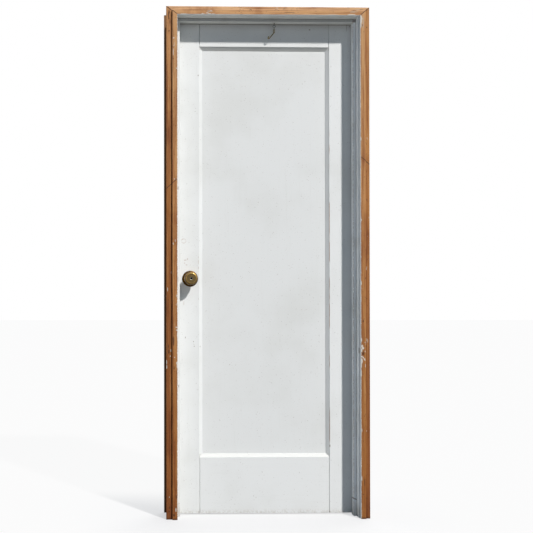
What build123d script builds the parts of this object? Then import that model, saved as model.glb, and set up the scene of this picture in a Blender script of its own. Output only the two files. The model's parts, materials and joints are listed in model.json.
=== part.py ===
"""Interior door: a one-panel leaf hung on three butt hinges in its own cased frame.

Millimetres. The origin is on the outer face of the hinge jamb, level with the
feet and midway through the jamb's depth. +Z is up, +X runs from the leaf
towards the hinges, and +Y points to the side that the leaf opens to.
"""
from math import cos, radians, sin
import os

from build123d import *

# Leaf
leaf_width = 711
leaf_height = 1981
leaf_thickness = 35
edge_gap = 5
head_gap = 5
floor_gap = 5
latch_bevel = 2
hinge_stile_width = 109
latch_stile_width = 101
top_rail_height = 112
bottom_rail_height = 238

# Moulded edge of the stiles and rails, and the panel that sits in its groove
sticking_width = 13.5
sticking_step = 1.2
sticking_lip = 1.2
panel_thickness = 9.3
panel_face_play = 0.1
panel_edge_play = 1.5
groove_depth = 10

# Frame
jamb_thickness = 19
jamb_housing = 9.5
stop_thickness = 12.5
stop_depth = 30
stop_setback = 32
stop_gap = 4
stop_round = 1.5
patch_height = 67
patch_slant = 4
patch_joint = 0.8

# Casings: a raised inner band and a lower outer band
casing_thickness = 19
casing_band = 20
head_casing_band = 16
casing_step = 8
casing_round = 1.5
latch_casing_reach = 44
latch_rear_casing_reach = 47
hinge_casing_reach = 42
head_casing_reach = 34
hinge_reveal = 4
rear_reveal = 6

# Butt hinges
hinge_height = 89
hinge_plate_width = 28
hinge_plate_thickness = 2.4
knuckle_count = 5
knuckle_radius = 6.5
knuckle_play = 0.3
pin_offset = 7
pin_radius = 3.1
pin_play = 0.07
pin_head_radius = 5
pin_head_height = 3.5
top_hinge_drop = 180
bottom_hinge_rise = 280

# Knobs, latch and strike
knob_height = 944
knob_backset = 51
knob_radius = 26
knob_projection = 66
knob_play = 1
knob_neck_radius = 17
knob_neck_length = 30
knob_back_length = 40
knob_rim = 7
knob_rim_steps = 3
knob_face_radius = 17
knob_face_recess = 1.5
knob_boss_radius = 6
knob_boss_height = 1
knob_hole_radius = 2.5
knob_hole_depth = 8
shank_radius = 9.5
shank_length = 22
rose_radius = 32
rose_rim = 2
rose_shoulder_radius = 26
rose_shoulder = 5.5
rose_crown_radius = 18
rose_thickness = 8
rose_play = 0.5
spindle_size = 8
spindle_play = 0.1
spindle_reach = 18
cross_bore_radius = 27
edge_bore_radius = 12.5
tube_radius = 11.5
tube_wall = 2
tube_end_gap = 12
faceplate_height = 57
faceplate_width = 25
faceplate_thickness = 2.4
bolt_height = 14
bolt_width = 11
bolt_length = 30
bolt_proud = 3
bolt_play = 0.3
strike_height = 70
strike_thickness = 1.6
strike_hole_height = 26
strike_hole_width = 16
strike_pocket_depth = 14

# Hook on the head stop
hook_from_latch = 394
wire_sides = 6
eye_ring_radius = 4.5
eye_wire_radius = 1.2
eye_screw_depth = 10
eye_drop = 1
hook_ring_radius = 5
hook_wire_radius = 1.3
hook_play = 0.3
hook_neck = 4
hook_loop_height = 20
hook_loop_width = 7.4
hook_loop_lean = 3
hook_rod_radius = 1.8
hook_rod_lean = 40
hook_rod_length = 29
hook_bend_radius = 3
hook_tip_length = 7

# Places that follow from the sizes above
jamb_depth = stop_setback + stop_depth + stop_gap + leaf_thickness
front_y = -jamb_depth / 2
rear_y = jamb_depth / 2
hinge_face_x = -jamb_thickness
latch_face_x = hinge_face_x - leaf_width - 2 * edge_gap
opening_height = floor_gap + leaf_height + head_gap
frame_top = opening_height + head_casing_reach
leaf_hinge_x = hinge_face_x - edge_gap
leaf_latch_x = leaf_hinge_x - leaf_width
leaf_bottom = floor_gap
leaf_top = floor_gap + leaf_height
leaf_front_y = rear_y - leaf_thickness
leaf_middle_y = rear_y - leaf_thickness / 2
stop_front_y = front_y + stop_setback
stop_rear_y = stop_front_y + stop_depth
stop_underside = opening_height - stop_thickness
groove_width = panel_thickness + 2 * panel_face_play
pin_x = hinge_face_x - edge_gap / 2
pin_y = rear_y + pin_offset
knob_x = leaf_latch_x + knob_backset
knob_z = leaf_bottom + knob_height
hook_x = latch_face_x + hook_from_latch
hook_y = stop_front_y + stop_depth / 2
hinge_heights = {
    "top": leaf_top - top_hinge_drop,
    "middle": (leaf_top - top_hinge_drop + leaf_bottom + bottom_hinge_rise) / 2,
    "bottom": leaf_bottom + bottom_hinge_rise,
}

os.makedirs("parts", exist_ok=True)


def save(piece, node):
    """Label a finished piece and write it to its own file."""
    piece.label = node
    export_step(piece, f"parts/{node}.step")


def block(x, y, z):
    """Square-edged piece between two limits on each axis."""
    with BuildPart() as piece:
        with BuildSketch(Plane.XY.offset(z[0])):
            with Locations(((x[0] + x[1]) / 2, (y[0] + y[1]) / 2)):
                Rectangle(x[1] - x[0], y[1] - y[0])
        extrude(amount=z[1] - z[0])
    return piece.part


# Leaf: stiles and rails with a moulded inner edge, and a flat panel


def moulded_board(start, across, run, width, length, bevel=0):
    """Board whose inner edge, reached along across, has the moulding and the groove.

    The moulding on both faces is a small step, a long bevel and a lip. The outer
    edge leans back by bevel on the front face.
    """
    face = leaf_thickness / 2
    groove = groove_width / 2
    shoulder = width - sticking_width
    with BuildPart() as board:
        with BuildSketch(Plane(origin=start, x_dir=across, z_dir=run)):
            with BuildLine():
                for side, outer_edge in ((1, 0), (-1, bevel)):
                    Polyline(
                        (bevel / 2, 0),
                        (outer_edge, side * face),
                        (shoulder, side * face),
                        (shoulder, side * (face - sticking_step)),
                        (width, side * (groove + sticking_lip)),
                        (width, side * groove),
                        (width - groove_depth, side * groove),
                        (width - groove_depth, 0),
                    )
            make_face()
        extrude(amount=length)
    return board.part


up = (0, 0, 1)
down = (0, 0, -1)
to_hinge = (1, 0, 0)
to_latch = (-1, 0, 0)
latch_shoulder_x = leaf_latch_x + latch_stile_width
hinge_shoulder_x = leaf_hinge_x - hinge_stile_width

# The latch edge leans back towards the front, so that it clears the jamb as it swings
latch_edge = Plane(
    origin=(leaf_latch_x + latch_bevel / 2, leaf_middle_y, knob_z),
    x_dir=up,
    z_dir=(-leaf_thickness, -latch_bevel, 0),
)


def plate_mortise(z_middle, face_x, into):
    """Flat part of a hinge plate, which is also the recess cut for it."""
    x = sorted((face_x, face_x + into * hinge_plate_thickness))
    y = (rear_y - hinge_plate_width, rear_y)
    z = (z_middle - hinge_height / 2, z_middle + hinge_height / 2)
    return block(x, y, z)


def faceplate_blank(height, width, depth):
    """Plate let into the latch edge, flush with it."""
    with BuildPart() as blank:
        with BuildSketch(latch_edge):
            Rectangle(height, width)
        extrude(amount=-depth)
    return blank.part


hinge_edge = (leaf_hinge_x, leaf_middle_y, leaf_top)
with BuildPart() as hinge_stile:
    add(moulded_board(hinge_edge, to_latch, down, hinge_stile_width, leaf_height))
    for z_middle in hinge_heights.values():
        add(plate_mortise(z_middle, leaf_hinge_x, -1), mode=Mode.SUBTRACT)

latch_corner = (leaf_latch_x, leaf_middle_y, leaf_bottom)
latch_stile_blank = moulded_board(
    latch_corner, to_hinge, up, latch_stile_width, leaf_height, latch_bevel
)

with BuildPart() as latch_stile:
    add(latch_stile_blank)
    add(faceplate_blank(faceplate_height, faceplate_width, faceplate_thickness), mode=Mode.SUBTRACT)
    with BuildSketch(Plane.YZ.offset(leaf_latch_x - faceplate_thickness)):
        with Locations((leaf_middle_y, knob_z)):
            Circle(edge_bore_radius)
    extrude(amount=knob_backset + faceplate_thickness, mode=Mode.SUBTRACT)
    with BuildSketch(Plane.XZ.offset(-rear_y)):
        with Locations((knob_x, knob_z)):
            Circle(cross_bore_radius)
    extrude(amount=leaf_thickness, mode=Mode.SUBTRACT)


def coped_rail(start_z, across, run, height):
    """Rail that runs into both stiles' grooves, its ends cut to their moulding."""
    first_x = latch_shoulder_x - groove_depth if run == to_hinge else hinge_shoulder_x + groove_depth
    length = hinge_shoulder_x - latch_shoulder_x + 2 * groove_depth
    with BuildPart() as rail:
        add(moulded_board((first_x, leaf_middle_y, start_z), across, run, height, length))
        add(hinge_stile.part, mode=Mode.SUBTRACT)
        add(latch_stile_blank, mode=Mode.SUBTRACT)
    return rail.part


with BuildPart() as top_rail:
    add(coped_rail(leaf_top, down, to_hinge, top_rail_height))

with BuildPart() as bottom_rail:
    add(coped_rail(leaf_bottom, up, to_latch, bottom_rail_height))

panel_reach = groove_depth - panel_edge_play
with BuildPart() as panel:
    add(
        block(
            (latch_shoulder_x - panel_reach, hinge_shoulder_x + panel_reach),
            (leaf_middle_y - panel_thickness / 2, leaf_middle_y + panel_thickness / 2),
            (leaf_bottom + bottom_rail_height - panel_reach, leaf_top - top_rail_height + panel_reach),
        )
    )

save(hinge_stile.part, "hinge_stile")
save(latch_stile.part, "latch_stile")
save(top_rail.part, "top_rail")
save(bottom_rail.part, "bottom_rail")
save(panel.part, "panel")

# Hinges: a plate in the jamb, a plate in the leaf's edge, knuckles in turn, and a loose pin

knuckle_length = hinge_height / knuckle_count


def hinge_plate(z_middle, face_x, into, first_knuckle):
    """Plate with every second knuckle, notched where the other plate's knuckles turn."""
    z_low = z_middle - hinge_height / 2
    x = sorted((face_x, face_x + into * hinge_plate_thickness))
    with BuildPart() as plate:
        add(plate_mortise(z_middle, face_x, into))
        for index in range(knuckle_count):
            own = index % 2 == first_knuckle
            trim = knuckle_play / 2 if own else -knuckle_play / 2
            z = (z_low + index * knuckle_length + trim, z_low + (index + 1) * knuckle_length - trim)
            if own:
                add(block(x, (rear_y - knuckle_radius, pin_y), z))
                with BuildSketch(Plane.XY.offset(z[0])):
                    with Locations((pin_x, pin_y)):
                        Circle(knuckle_radius)
                extrude(amount=z[1] - z[0])
        with BuildSketch(Plane.XY.offset(z_low)):
            with Locations((pin_x, pin_y)):
                Circle(pin_radius + pin_play)
        extrude(amount=hinge_height, mode=Mode.SUBTRACT)
    return plate.part


def hinge_pin(z_middle):
    """Loose pin, dropped in from above and hanging by its round head."""
    z_low = z_middle - hinge_height / 2
    with BuildPart() as pin:
        with BuildSketch(Plane.XY.offset(z_low - pin_radius / 2)):
            with Locations((pin_x, pin_y)):
                Circle(pin_radius)
        extrude(amount=hinge_height + pin_radius / 2)
        with BuildSketch(Plane.XY.offset(z_low + hinge_height - knuckle_play / 2)):
            with Locations((pin_x, pin_y)):
                Circle(pin_head_radius)
        extrude(amount=pin_head_height)
        chamfer(pin.edges().group_by(Axis.Z)[-1], pin_head_height / 2)
    return pin.part


for place, z_middle in hinge_heights.items():
    save(hinge_plate(z_middle, hinge_face_x, 1, 0), f"{place}_hinge_jamb_plate")
    save(hinge_plate(z_middle, leaf_hinge_x, -1, 1), f"{place}_hinge_door_plate")
    save(hinge_pin(z_middle), f"{place}_hinge_pin")

# Frame: jambs with the head housed into them, and the stops


def strike_blank(height, y, depth):
    """Plate or pocket let into the latch jamb's face, level with the bolt."""
    z = (knob_z - height / 2, knob_z + height / 2)
    return block((latch_face_x - depth, latch_face_x), y, z)


strike_y = (leaf_middle_y - strike_hole_width, rear_y)
strike_hole_y = (leaf_middle_y - strike_hole_width / 2, leaf_middle_y + strike_hole_width / 2)
jamb_y = (front_y, rear_y)
head_bottom = opening_height
head_top = opening_height + jamb_thickness
head_x = (latch_face_x - jamb_housing, hinge_face_x + jamb_housing)

with BuildPart() as head_jamb:
    add(block(head_x, jamb_y, (head_bottom, head_top)))

with BuildPart() as hinge_jamb:
    add(block((hinge_face_x, 0), jamb_y, (0, head_top)))
    add(head_jamb.part, mode=Mode.SUBTRACT)
    for z_middle in hinge_heights.values():
        add(plate_mortise(z_middle, hinge_face_x, 1), mode=Mode.SUBTRACT)

with BuildPart() as latch_jamb:
    add(block((latch_face_x - jamb_thickness, latch_face_x), jamb_y, (0, head_top)))
    add(head_jamb.part, mode=Mode.SUBTRACT)
    add(strike_blank(strike_height, strike_y, strike_thickness), mode=Mode.SUBTRACT)
    add(strike_blank(strike_hole_height, strike_hole_y, strike_pocket_depth), mode=Mode.SUBTRACT)

with BuildPart() as strike_plate:
    add(strike_blank(strike_height, strike_y, strike_thickness))
    add(strike_blank(strike_hole_height, strike_hole_y, strike_thickness), mode=Mode.SUBTRACT)


def side_stop(face_x, into_opening, z):
    """Upright stop on a jamb, its two open corners eased."""
    x = sorted((face_x, face_x + into_opening * stop_thickness))
    with BuildPart() as stop:
        add(block(x, (stop_front_y, stop_rear_y), z))
        exposed = stop.edges().filter_by(Axis.Z).group_by(Axis.X)[-1 if into_opening > 0 else 0]
        fillet(exposed, stop_round)
    return stop.part


with BuildPart() as latch_stop:
    add(side_stop(latch_face_x, 1, (0, stop_underside)))

# The hinge-side stop is pieced near the floor, with an open slanting joint
patch_cut = Plane(
    origin=(hinge_face_x - stop_thickness / 2, 0, patch_height),
    z_dir=(patch_slant, 0, stop_thickness),
)

with BuildPart() as hinge_stop:
    add(side_stop(hinge_face_x, -1, (0, stop_underside)))
    split(bisect_by=patch_cut.offset(patch_joint / 2), keep=Keep.TOP)

with BuildPart() as hinge_stop_patch:
    add(side_stop(hinge_face_x, -1, (0, stop_underside)))
    split(bisect_by=patch_cut.offset(-patch_joint / 2), keep=Keep.BOTTOM)

# Hook: a screw eye under the head stop, and a brass hook that hangs in it


def wire_ring(centre, normal, ring_radius, wire_radius):
    """Closed ring of wire about a centre."""
    top = Vector(centre) + Vector(up) * ring_radius
    with BuildPart() as ring:
        with BuildSketch(Plane(origin=top, z_dir=Vector(up).cross(Vector(normal)))):
            RegularPolygon(wire_radius, wire_sides)
        revolve(axis=Axis(centre, normal))
    return ring.part


def wire_along(path, wire_radius):
    """Wire bent to a path."""
    with BuildPart() as wire:
        with BuildSketch(Plane(origin=path @ 0, z_dir=path % 0)):
            RegularPolygon(wire_radius, wire_sides)
        sweep(path=path)
    return wire.part


eye_centre_z = stop_underside - eye_drop - eye_ring_radius - eye_wire_radius
hook_pivot_z = eye_centre_z - eye_ring_radius

with BuildPart() as hook_eye:
    with BuildSketch(Plane.XY.offset(eye_centre_z + eye_ring_radius)):
        with Locations((hook_x, hook_y)):
            RegularPolygon(eye_wire_radius, wire_sides)
    extrude(amount=eye_wire_radius + eye_drop + eye_screw_depth)
    add(wire_ring((hook_x, hook_y, eye_centre_z), to_hinge, eye_ring_radius, eye_wire_radius))

with BuildPart() as head_stop:
    head_stop_z = (stop_underside, opening_height)
    add(block((latch_face_x, hinge_face_x), (stop_front_y, stop_rear_y), head_stop_z))
    fillet(head_stop.edges().filter_by(Axis.X).group_by(Axis.Z)[0], stop_round)
    add(hook_eye.part, mode=Mode.SUBTRACT)

# The hook's ring goes round the eye, and a narrow loop leads to the bent end
ring_centre_z = hook_pivot_z - (hook_ring_radius - hook_wire_radius - eye_wire_radius - hook_play)
ring_bottom_z = ring_centre_z - hook_ring_radius
loop_top = Vector(hook_x, hook_y, ring_bottom_z - hook_neck)
loop_drop = hook_loop_height - 2 * hook_wire_radius
loop_angle = radians(hook_loop_lean)
loop_way = Vector(-sin(loop_angle), 0, -cos(loop_angle))
loop_middle = loop_top + loop_way * (loop_drop / 2)

with BuildSketch(Plane.XZ.offset(-hook_y)) as loop_face:
    with Locations((loop_middle.X, loop_middle.Z)):
        SlotOverall(loop_drop, hook_loop_width - 2 * hook_wire_radius, rotation=90 - hook_loop_lean)

rod_angle = radians(hook_rod_lean)
rod_way = Vector(-sin(rod_angle), 0, -cos(rod_angle))
bend_way = Vector(-cos(rod_angle), 0, sin(rod_angle))
rod_top = loop_top + loop_way * loop_drop
rod_end = rod_top + rod_way * hook_rod_length
bend_end = rod_end + bend_way * (2 * hook_bend_radius)

with BuildLine() as rod_line:
    Line(rod_top, rod_end)
    ThreePointArc(rod_end, rod_end + (bend_way + rod_way) * hook_bend_radius, bend_end)
    Line(bend_end, bend_end - rod_way * hook_tip_length)

with BuildPart() as cabin_hook:
    add(wire_ring((hook_x, hook_y, ring_centre_z), (0, 1, 0), hook_ring_radius, hook_wire_radius))
    with BuildSketch(Plane.XY.offset(loop_top.Z)):
        with Locations((hook_x, hook_y)):
            RegularPolygon(hook_wire_radius, wire_sides)
    extrude(amount=hook_neck)
    add(wire_along(loop_face.sketch.face().outer_wire(), hook_wire_radius))
    add(wire_along(rod_line.wire(), hook_rod_radius))

save(head_jamb.part, "head_jamb")
save(hinge_jamb.part, "hinge_jamb")
save(latch_jamb.part, "latch_jamb")
save(strike_plate.part, "strike_plate")
save(latch_stop.part, "latch_stop")
save(hinge_stop.part, "hinge_stop")
save(hinge_stop_patch.part, "hinge_stop_patch")
save(head_stop.part, "head_stop")
save(hook_eye.part, "hook_eye")
save(cabin_hook.part, "cabin_hook")

# Casings on the front and the rear of the frame, mitred from corner to corner


def casing_blank(start, outward, proud, width, length, band):
    """Length of casing. Its section starts at the inner edge and stands proud of the jamb."""
    with BuildPart() as blank:
        end_grain = Plane(origin=start, x_dir=outward, z_dir=Vector(outward).cross(Vector(proud)))
        with BuildSketch(end_grain) as section:
            with BuildLine():
                Polyline(
                    (0, 0),
                    (0, casing_thickness),
                    (band, casing_thickness),
                    (band, casing_thickness - casing_step),
                    (width, casing_thickness - casing_step),
                    (width, 0),
                    close=True,
                )
            make_face()
            raised = section.vertices().group_by(Axis.Y)[-1 if proud[1] > 0 else 0]
            outer = section.vertices().group_by(Axis.Y)[-2 if proud[1] > 0 else 1]
            outer = outer.sort_by_distance(Vector(start))[-1:]
            fillet(raised + outer, casing_round)
        extrude(amount=length)
    return blank.part


def casing_set(face, edge_y, proud, reveals, reaches):
    """Two legs and a head round one face of the frame.

    The reveals set the inner edges back from the jambs' faces, and the reaches run
    from those faces to the outer edges, in the order latch side, hinge side, head.
    """
    latch_x = latch_face_x - reveals[0]
    hinge_x = hinge_face_x + reveals[1]
    inner_top = opening_height + reveals[2]
    latch_width, hinge_width, head_width = [reach - reveal for reach, reveal in zip(reaches, reveals)]
    head_length = hinge_x - latch_x + latch_width + hinge_width
    front = proud[1] < 0
    latch_start = (latch_x, edge_y, 0 if front else frame_top)
    hinge_start = (hinge_x, edge_y, frame_top if front else 0)
    head_start = (latch_x - latch_width if front else hinge_x + hinge_width, edge_y, inner_top)
    latch_mitre = Plane(origin=(latch_x, 0, inner_top), z_dir=(head_width, 0, latch_width))
    hinge_mitre = Plane(origin=(hinge_x, 0, inner_top), z_dir=(-head_width, 0, hinge_width))
    with BuildPart() as latch_leg:
        add(casing_blank(latch_start, to_latch, proud, latch_width, frame_top, casing_band))
        split(bisect_by=latch_mitre, keep=Keep.BOTTOM)
    with BuildPart() as hinge_leg:
        add(casing_blank(hinge_start, to_hinge, proud, hinge_width, frame_top, casing_band))
        split(bisect_by=hinge_mitre, keep=Keep.BOTTOM)
    with BuildPart() as head:
        add(casing_blank(head_start, up, proud, head_width, head_length, head_casing_band))
        split(bisect_by=latch_mitre, keep=Keep.TOP)
        split(bisect_by=hinge_mitre, keep=Keep.TOP)
    save(latch_leg.part, f"latch_{face}_casing")
    save(hinge_leg.part, f"hinge_{face}_casing")
    save(head.part, f"head_{face}_casing")


front_reaches = (latch_casing_reach, hinge_casing_reach, head_casing_reach)
rear_reaches = (latch_rear_casing_reach, hinge_casing_reach, head_casing_reach)
casing_set("front", front_y, (0, -1, 0), (0, hinge_reveal, 0), front_reaches)
casing_set("rear", rear_y, (0, 1, 0), (rear_reveal, rear_reveal, rear_reveal), rear_reaches)

# Latch: faceplate, tube and bolt in the leaf's edge

tube_end_x = knob_x - tube_end_gap
bolt_face_x = leaf_latch_x + latch_bevel / 2

with BuildPart() as latch_bolt:
    with BuildSketch(Plane.XY.offset(knob_z - bolt_height / 2)):
        with BuildLine():
            Polyline(
                (bolt_face_x + bolt_length, leaf_middle_y - bolt_width / 2),
                (bolt_face_x + bolt_length, leaf_middle_y + bolt_width / 2),
                (bolt_face_x - bolt_proud, leaf_middle_y + bolt_width / 2),
                (bolt_face_x - bolt_proud, leaf_middle_y + bolt_width / 4),
                (bolt_face_x - bolt_proud + bolt_width * 3 / 4, leaf_middle_y - bolt_width / 2),
                close=True,
            )
        make_face()
    extrude(amount=bolt_height)

with BuildPart() as latch_faceplate:
    add(faceplate_blank(faceplate_height, faceplate_width, faceplate_thickness))
    with BuildSketch(latch_edge):
        Rectangle(bolt_height + 2 * bolt_play, bolt_width + 2 * bolt_play)
    extrude(amount=faceplate_thickness, both=True, mode=Mode.SUBTRACT)

with BuildPart() as latch_tube:
    with BuildSketch(Plane.YZ.offset(leaf_latch_x)):
        with Locations((leaf_middle_y, knob_z)):
            Circle(tube_radius)
            Circle(tube_radius - tube_wall, mode=Mode.SUBTRACT)
    extrude(amount=tube_end_x - leaf_latch_x)
    split(bisect_by=latch_edge.offset(-faceplate_thickness), keep=Keep.BOTTOM)

save(latch_bolt.part, "latch_bolt")
save(latch_faceplate.part, "latch_faceplate")
save(latch_tube.part, "latch_tube")

# Knobs, turned about the spindle, with a round plate against each face of the leaf


def turned_part(face_y, outward, profile):
    """Solid of revolution from points of radius and distance out from the leaf's face."""
    facing = Vector(0, outward, 0)
    half = Plane(origin=(knob_x, face_y, knob_z), x_dir=to_hinge, z_dir=Vector(to_hinge).cross(facing))
    with BuildPart() as piece:
        with BuildSketch(half):
            with BuildLine():
                Polyline(*profile, close=True)
            make_face()
        revolve(axis=Axis((knob_x, face_y, knob_z), facing))
    return piece.part


def rose(face_y, outward):
    """Stepped round plate with a hole for the knob's shank."""
    hole = shank_radius + rose_play
    profile = [
        (hole, 0),
        (rose_radius, 0),
        (rose_radius, rose_rim),
        (rose_shoulder_radius, rose_shoulder),
        (rose_crown_radius, rose_thickness),
        (hole, rose_thickness),
    ]
    return turned_part(face_y, outward, profile)


def knob(face_y, outward, has_keyhole):
    """Round knob: shank, hollow neck, round rim and a dished face."""
    face = knob_projection - knob_face_recess
    rim_radius = knob_radius - knob_rim
    rim_height = knob_projection - knob_rim
    back = [
        (0, knob_play),
        (shank_radius, knob_play),
        (shank_radius, shank_length),
        (knob_neck_radius, knob_neck_length),
        (knob_radius, knob_back_length),
    ]
    turns = [radians(90 * step / knob_rim_steps) for step in range(knob_rim_steps + 1)]
    rim = [(rim_radius + knob_rim * cos(turn), rim_height + knob_rim * sin(turn)) for turn in turns]
    dish = [(knob_face_radius, knob_projection), (knob_face_radius, face)]
    keyhole = [
        (knob_boss_radius, face),
        (knob_boss_radius, face + knob_boss_height),
        (knob_hole_radius, face + knob_boss_height),
        (knob_hole_radius, face - knob_hole_depth),
        (0, face - knob_hole_depth),
    ]
    centre = keyhole if has_keyhole else [(0, face)]
    with BuildPart() as body:
        add(turned_part(face_y, outward, back + rim + dish + centre))
        with BuildSketch(Plane(origin=(knob_x, face_y, knob_z), x_dir=to_hinge, z_dir=(0, outward, 0))):
            Rectangle(spindle_size + 2 * spindle_play, spindle_size + 2 * spindle_play)
        extrude(amount=spindle_reach + spindle_play, mode=Mode.SUBTRACT)
    return body.part


with BuildPart() as knob_spindle:
    with BuildSketch(Plane.XZ.offset(-rear_y - spindle_reach)):
        with Locations((knob_x, knob_z)):
            Rectangle(spindle_size, spindle_size)
    extrude(amount=leaf_thickness + 2 * spindle_reach)

save(rose(leaf_front_y, -1), "front_rose")
save(rose(rear_y, 1), "rear_rose")
save(knob(leaf_front_y, -1, has_keyhole=True), "front_knob")
save(knob(rear_y, 1, has_keyhole=False), "rear_knob")
save(knob_spindle.part, "knob_spindle")
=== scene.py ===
"""Looks of a one-panel interior door in its frame: paint, bare casings, brass and small fittings.

The scene is in metres, in the part's own frame: +Z up, +X towards the hinges, +Y to the side
that the leaf opens to. Sizes and places of marks are written in millimetres.
"""
import json
import math

import bpy
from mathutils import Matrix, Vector


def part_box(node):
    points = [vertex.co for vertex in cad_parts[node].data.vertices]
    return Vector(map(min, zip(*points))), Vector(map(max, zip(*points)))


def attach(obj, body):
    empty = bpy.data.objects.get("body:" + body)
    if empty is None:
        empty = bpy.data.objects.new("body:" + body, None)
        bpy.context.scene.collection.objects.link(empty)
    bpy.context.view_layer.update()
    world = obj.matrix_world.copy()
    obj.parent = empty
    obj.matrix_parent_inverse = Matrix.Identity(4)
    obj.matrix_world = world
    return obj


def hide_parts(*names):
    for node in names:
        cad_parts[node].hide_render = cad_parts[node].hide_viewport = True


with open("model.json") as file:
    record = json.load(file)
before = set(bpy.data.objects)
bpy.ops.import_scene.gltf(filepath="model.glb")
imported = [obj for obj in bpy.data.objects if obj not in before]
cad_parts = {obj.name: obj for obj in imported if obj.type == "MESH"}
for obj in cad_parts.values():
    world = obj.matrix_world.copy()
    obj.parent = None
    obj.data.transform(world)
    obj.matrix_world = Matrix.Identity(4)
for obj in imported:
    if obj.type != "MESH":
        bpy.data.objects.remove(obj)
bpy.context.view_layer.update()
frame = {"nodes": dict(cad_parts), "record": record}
nodes = frame["nodes"]
scene = bpy.context.scene
MM = 0.001

# Stage, light and camera

AMBIENT = 0.148
AMBIENT_TINT = (0.64, 0.99, 1.43)
KEY_STRENGTH = 3.68
KEY_TINT = (1.0, 0.97, 0.955)
KEY_SOFTNESS = 3
KEY_FROM = (0.645, -1.0, 1.03)
FLOOR_COLOUR = (0.225, 0.222, 0.218)
FLOOR_SEEN = (0.72, 0.72, 0.72)
BACK_STRENGTH = 1.9
BACK_TINT = (1.0, 0.98, 0.965)
BACK_SOFTNESS = 50
BACK_FROM = (0.5, 1.0, 0.95)
# Share of glow in the floor near the door and far from it, and the way between in millimetres
FLOOR_GLOW_NEAR = 0.62
FLOOR_GLOW_FAR = 0.96
FLOOR_GLOW_FADE = (-20, 420)
FLOOR_GLOW = 0.97
FLOOR_SIZE = 60
CAMERA_PLACE = (-0.9576, -3.463, 0.8728)
CAMERA_YAW = 1.262
CAMERA_PITCH = 0.473
CAMERA_LENS = 58.37
CAMERA_SENSOR = 36
CAMERA_SHIFT = (0.235, 0.045)
CAMERA_REACH = 100


def srgb(red, green, blue):
    """Colour given as 0 to 255 in display values, as linear RGBA."""
    channels = []
    for value in (red, green, blue):
        share = value / 255
        channels.append(share / 12.92 if share <= 0.04045 else ((share + 0.055) / 1.055) ** 2.4)
    return (*channels, 1.0)


# Colours of the paint, the wood and the brass

STILE_WHITE = srgb(231, 233, 231)
# The hinge jamb's white is lighter, as painted light on its shaded face; the latch jamb's is darker, as
# painted shade on its lit face
HINGE_JAMB_PAINTED_LIGHT = srgb(247, 250, 251)
LATCH_JAMB_PAINTED_SHADE = srgb(222, 222, 218)
HEAD_JAMB_WHITE = srgb(230, 231, 226)
# Painted shade for the head stop's front face
STOP_PAINTED_SHADE = srgb(208, 209, 212)
# Painted shade for the moulding's top and bottom slopes
MOULDING_PAINTED_SHADE = srgb(243, 242, 240)
PANEL_WHITE = srgb(226, 228, 226)
PAINT_SHADE = srgb(205, 206, 200)
PAINT_OLD = srgb(184, 178, 164)
# Dirt and specks, and also the colour of painted shade under the head stop
DIRT_AND_PAINTED_SHADE = srgb(112, 92, 70)
BARE_SPOT = srgb(150, 104, 66)
JOINT_BROWN = srgb(96, 74, 56)
# Dark lines of the wood, for pits, knots and mitres, and also painted shade at the step between the bands
WOOD_LINE_AND_SHADE = srgb(70, 40, 20)
WOOD_DARK = srgb(176, 134, 92)
WOOD_LIGHT = srgb(222, 172, 118)
INNER_TONES = (
    (0.0, srgb(154, 98, 44)), (0.3, srgb(163, 108, 54)), (0.62, srgb(185, 132, 79)),
    (1.0, srgb(199, 154, 105)),
)
LATCH_OUTER_TONES = (
    (0.0, srgb(138, 82, 34)), (0.3, srgb(142, 86, 36)), (0.6, srgb(150, 94, 40)),
    (0.8, srgb(178, 124, 70)), (1.0, srgb(182, 130, 80)),
)
HINGE_OUTER_TONES = (
    (0.0, srgb(134, 78, 30)), (0.3, srgb(143, 87, 38)), (0.45, srgb(156, 100, 48)),
    (0.6, srgb(173, 117, 59)), (1.0, srgb(179, 129, 76)),
)
HEAD_TONES = (srgb(206, 158, 108), srgb(222, 178, 132))
CHIP_BEIGE = srgb(182, 166, 148)
RAW_BOARD = srgb(176, 136, 92)
WALL_SIDE = srgb(100, 70, 40)
FLECK_WHITE = srgb(212, 208, 196)
BRASS_BRIGHT = srgb(142, 114, 58)
BRASS_FACE = srgb(104, 84, 42)
# Painted reflection for the knob's neck
BRASS_NECK_REFLECTION = srgb(196, 146, 58)
BRASS_DARK = srgb(84, 58, 22)
# Painted shade for the inside of the keyhole
HOLE_PAINTED_SHADE = srgb(22, 18, 14)
EYE_GREY = srgb(150, 154, 152)
HOOK_BRASS = srgb(112, 100, 64)
HOOK_DARK = srgb(76, 68, 46)

# Places taken from the frame, in millimetres


def low(node):
    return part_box(node)[0] / MM


def high(node):
    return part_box(node)[1] / MM


leaf_front = low("hinge_stile").y
leaf_rear = high("hinge_stile").y
rail_ends = (low("top_rail").x, high("top_rail").x)
top_rail_low = low("top_rail").z
bottom_rail_high = high("bottom_rail").z
latch_face = low("head_stop").x
hinge_face = high("head_stop").x
opening_top = high("head_stop").z
stop_front = low("head_stop").y
stop_rear = high("head_stop").y
stop_underside = low("head_stop").z
casing_front = low("head_front_casing").y
casing_back = -high("head_front_casing").y
casing_left = low("latch_front_casing").x
casing_right = high("hinge_front_casing").x
hinge_casing_edge = low("hinge_front_casing").x
frame_top = high("head_front_casing").z
knob_x = (low("front_rose").x + high("front_rose").x) / 2
knob_z = (low("front_rose").z + high("front_rose").z) / 2
patch_top = low("hinge_stop").z

# Places that repeat the part's own sizes
MOULDING = 13.5
GROOVE = 10
LEG_BAND = 20
HEAD_BAND = 16
JAMB_THICKNESS = 19
STOP_THICKNESS = 12.5
ROSE_REACH = 32.5
PATCH_SLOPE = 0.32

opening_middle = (latch_face + hinge_face) / 2
stile_joints = (rail_ends[0] + GROOVE - MOULDING, rail_ends[1] - GROOVE + MOULDING)


# Shader maths, written as Python expressions


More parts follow.
